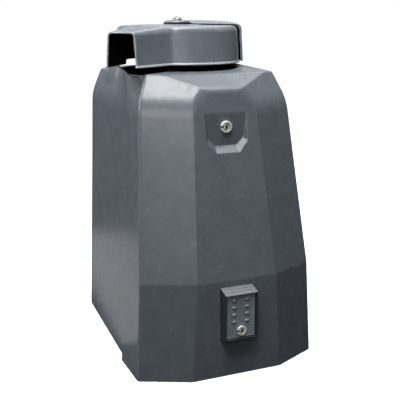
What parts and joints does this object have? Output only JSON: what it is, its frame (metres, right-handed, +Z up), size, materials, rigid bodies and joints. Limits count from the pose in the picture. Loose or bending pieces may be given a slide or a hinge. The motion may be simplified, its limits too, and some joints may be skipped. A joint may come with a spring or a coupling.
{
  "type": "swing gate operator",
  "caption": "Pedestal swing gate operator: faceted lift-off plastic cover over a motor, belt and worm gearbox turning a vertical shaft, with a round hood and open arm channel on top.",
  "frame": {"origin": "point on the floor plane, on the underside of the base plate, directly below the output shaft's axis", "axes": "+Z up along the output shaft, -Y towards the front of the cover with the lock and reset box, +X to the viewer's right when looking at the front, completing a right-handed frame"},
  "size_m": [0.3738, 0.458, 0.656],
  "materials": {
    "cover_plastic": "fine pebble-grained moulded polyethylene",
    "hood_plastic": "smooth moulded polyethylene",
    "box_plastic": "moulded plastic",
    "lock_metal": "plated lock face",
    "zinc_steel": "zinc-plated steel",
    "frame_paint": "powder coat",
    "cast": "painted casting",
    "bronze": "gear bronze",
    "steel": "machined steel",
    "alu": "cast aluminium",
    "rubber": "black rubber",
    "motor_paint": "gloss black paint",
    "copper": "wound copper and laminations",
    "board_green": "circuit board",
    "part_black": "moulded electrical parts",
    "button_red": "red push button",
    "cap_alu": "drawn can"
  },
  "bodies": {
    "chassis": {"base_plate": "frame_paint", "side_plate_left": "frame_paint", "side_plate_right": "frame_paint", "frame_bolts": "zinc_steel", "gearbox_shelf": "frame_paint", "gearbox_housing": "cast", "gearbox_lid": "cast", "gearbox_lid_screws": "zinc_steel", "shaft_bearings": "steel", "shaft_seal": "rubber", "worm_bearings": "steel", "worm_caps": "cast", "limit_bracket": "zinc_steel", "limit_switches": "part_black", "v_belt": "rubber", "motor_can": "motor_paint", "motor_bells": "alu", "motor_stator": "copper", "motor_cradle": "frame_paint", "control_plate": "zinc_steel", "control_standoffs": "zinc_steel", "circuit_board": "board_green", "board_parts": "part_black", "transformer": "copper", "start_capacitor": "cap_alu", "lock_keeper": "zinc_steel", "switch_panel": "zinc_steel", "switch_bezels": "part_black", "alarm_sounder": "part_black"},
    "crank": {"output_shaft": "steel", "shaft_keys": "steel", "worm_wheel": "bronze", "crank_hub": "steel", "socket_screws": "zinc_steel", "limit_cams": "part_black"},
    "hood": {"hood_main": "hood_plastic", "hood_sector": "hood_plastic", "hood_washer_rubber": "rubber", "hood_washer_steel": "zinc_steel", "hood_bolt": "zinc_steel"},
    "worm": {"worm_shaft": "steel", "worm_pulley": "alu"},
    "rotor": {"motor_rotor": "steel", "motor_shaft": "steel", "motor_pulley": "alu"},
    "cover": {"cover_shell": "cover_plastic", "cover_lock_body": "lock_metal", "cover_lock_nut": "zinc_steel", "reset_frame": "box_plastic", "reset_frame_screws": "zinc_steel", "door_hinge_pin": "zinc_steel"},
    "cover_lock": {"cover_lock_plug": "lock_metal", "cover_lock_cam": "zinc_steel"},
    "door": {"reset_door": "box_plastic", "door_lock_body": "lock_metal"},
    "door_lock": {"door_lock_plug": "lock_metal", "door_lock_cam": "zinc_steel"},
    "button": {"reset_button": "button_red"},
    "rocker": {"power_rocker": "part_black"}
  },
  "joints": [
    {"name": "motor_spin", "type": "hinge", "parent": "chassis", "child": "rotor", "pos_m": [0, -0.15, 0.17], "axis": [1, 0, 0], "range_deg": [0, 14086.96]},
    {"name": "worm_spin", "type": "hinge", "parent": "chassis", "child": "worm", "pos_m": [0, -0.094, 0.395], "axis": [1, 0, 0], "range_deg": [0, 6480]},
    {"name": "crank_swing", "type": "hinge", "parent": "chassis", "child": "crank", "pos_m": [0, 0, 0.395], "axis": [0, 0, 1], "range_deg": [-180, 0]},
    {"name": "cover_lift", "type": "slide", "parent": "chassis", "child": "cover", "axis": [0, 0, 1], "range_m": [0, 0.64]},
    {"name": "hood_lift", "type": "slide", "parent": "crank", "child": "hood", "axis": [0, 0, 1], "range_m": [0, 0.64]},
    {"name": "cover_lock_turn", "type": "hinge", "parent": "cover", "child": "cover_lock", "pos_m": [0, -0.22, 0.461], "axis": [0, -1, 0], "range_deg": [0, 90]},
    {"name": "reset_door_swing", "type": "hinge", "parent": "cover", "child": "door", "pos_m": [0, -0.3105, 0.1625], "axis": [-1, 0, 0], "range_deg": [0, 80]},
    {"name": "door_lock_turn", "type": "hinge", "parent": "door", "child": "door_lock", "pos_m": [0, -0.31, 0.0943], "axis": [0, 1, 0], "range_deg": [0, 90]},
    {"name": "reset_button_push", "type": "slide", "parent": "chassis", "child": "button", "axis": [0, 1, 0], "range_m": [0, 0.004], "stiffness_N_per_m": 500, "springref_m": -0.002},
    {"name": "power_rocker_tilt", "type": "hinge", "parent": "chassis", "child": "rocker", "pos_m": [0.013, -0.2746, 0.14], "axis": [1, 0, 0], "range_deg": [-16, 0]}
  ],
  "couplings": [
    {"joint": "worm_spin", "follows": "motor_spin", "ratio": 0.46},
    {"joint": "crank_swing", "follows": "motor_spin", "ratio": -0.012778},
    {"joint": "hood_lift", "follows": "cover_lift", "ratio": 1}
  ]
}
